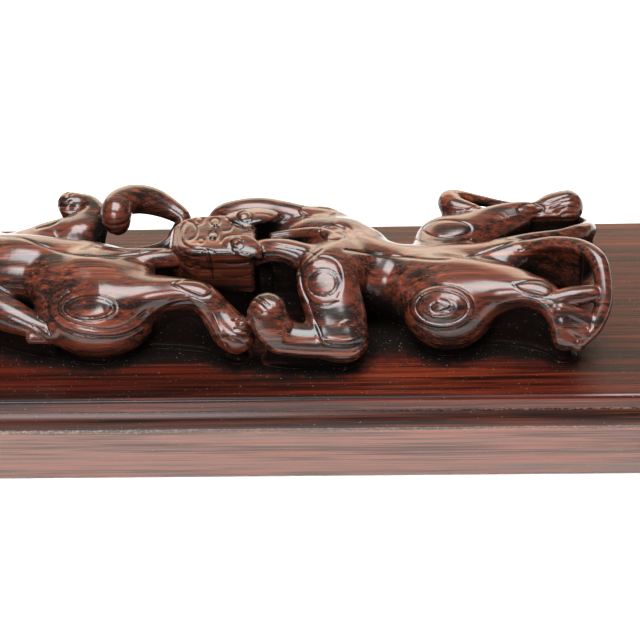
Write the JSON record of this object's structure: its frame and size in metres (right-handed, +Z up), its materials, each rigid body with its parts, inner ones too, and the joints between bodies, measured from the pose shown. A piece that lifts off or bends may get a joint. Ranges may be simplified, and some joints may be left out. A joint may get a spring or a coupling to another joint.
{
  "type": "carved wood paperweight",
  "caption": "Long moulded block of dark wood with slender four-legged beasts walking in line, carved in high relief on top.",
  "frame": {"origin": "middle of the flat underside", "axes": "+X along the block, towards the rear beast's tail; +Y to the far long side; +Z up"},
  "size_m": [0.254, 0.0686, 0.0432],
  "materials": {
    "rosewood": "dark red-brown rosewood with black streaks, waxed and polished"
  },
  "bodies": {
    "root": {"carved_paperweight": "rosewood"}
  },
  "joints": []
}
